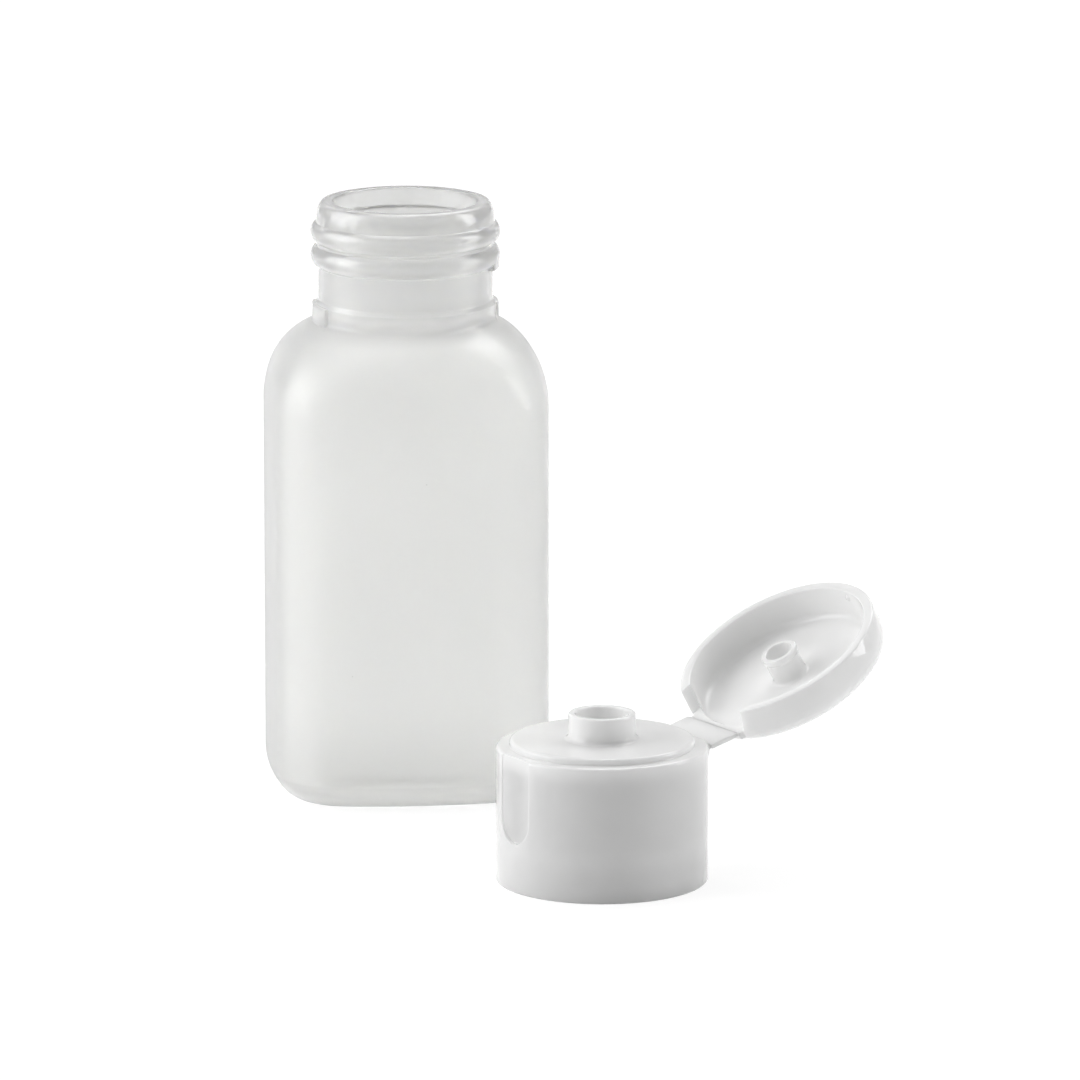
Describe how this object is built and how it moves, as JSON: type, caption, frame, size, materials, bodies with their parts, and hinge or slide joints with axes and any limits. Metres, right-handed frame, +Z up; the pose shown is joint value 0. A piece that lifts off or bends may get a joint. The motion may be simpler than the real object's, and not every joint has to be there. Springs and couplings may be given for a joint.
{
  "type": "plastic flip-top bottle",
  "caption": "Small frosted square bottle with round shoulders and a beaded neck, its push-on closure standing beside it with the flip lid open on a living hinge.",
  "frame": {"origin": "middle of the plan box round the bottle and its closure, on the surface that both stand on", "axes": "+Z up along the bottle's neck, out of its mouth; the bottle's flat faces look along X and Y; the closure stands on the -Y side"},
  "size_m": [0.073, 0.083, 0.0743],
  "materials": {
    "frosted_plastic": "natural translucent polyolefin, frosted body and smoother neck",
    "white_plastic": "smooth glossy white polypropylene"
  },
  "bodies": {
    "bottle": {"bottle": "frosted_plastic"},
    "closure": {"cap_base": "white_plastic"},
    "strap": {"hinge_strap": "white_plastic"},
    "lid": {"flip_lid": "white_plastic"}
  },
  "joints": [
    {"name": "cap_lift", "type": "slide", "parent": "bottle", "child": "closure", "axis": [0, 0, 1], "range_m": [0, 0.08]},
    {"name": "strap_crease", "type": "hinge", "parent": "closure", "child": "strap", "pos_m": [0.01189, -0.02285, 0.0158], "axis": [-0.4695, 0.8829, 0], "range_deg": [-75, 15], "stiffness_Nm_per_rad": 0.004},
    {"name": "lid_crease", "type": "hinge", "parent": "strap", "child": "lid", "pos_m": [0.01539, -0.02099, 0.01686], "axis": [-0.4695, 0.8829, 0], "range_deg": [-75, 15], "stiffness_Nm_per_rad": 0.004}
  ],
  "couplings": [
    {"joint": "lid_crease", "follows": "strap_crease", "ratio": 1}
  ]
}
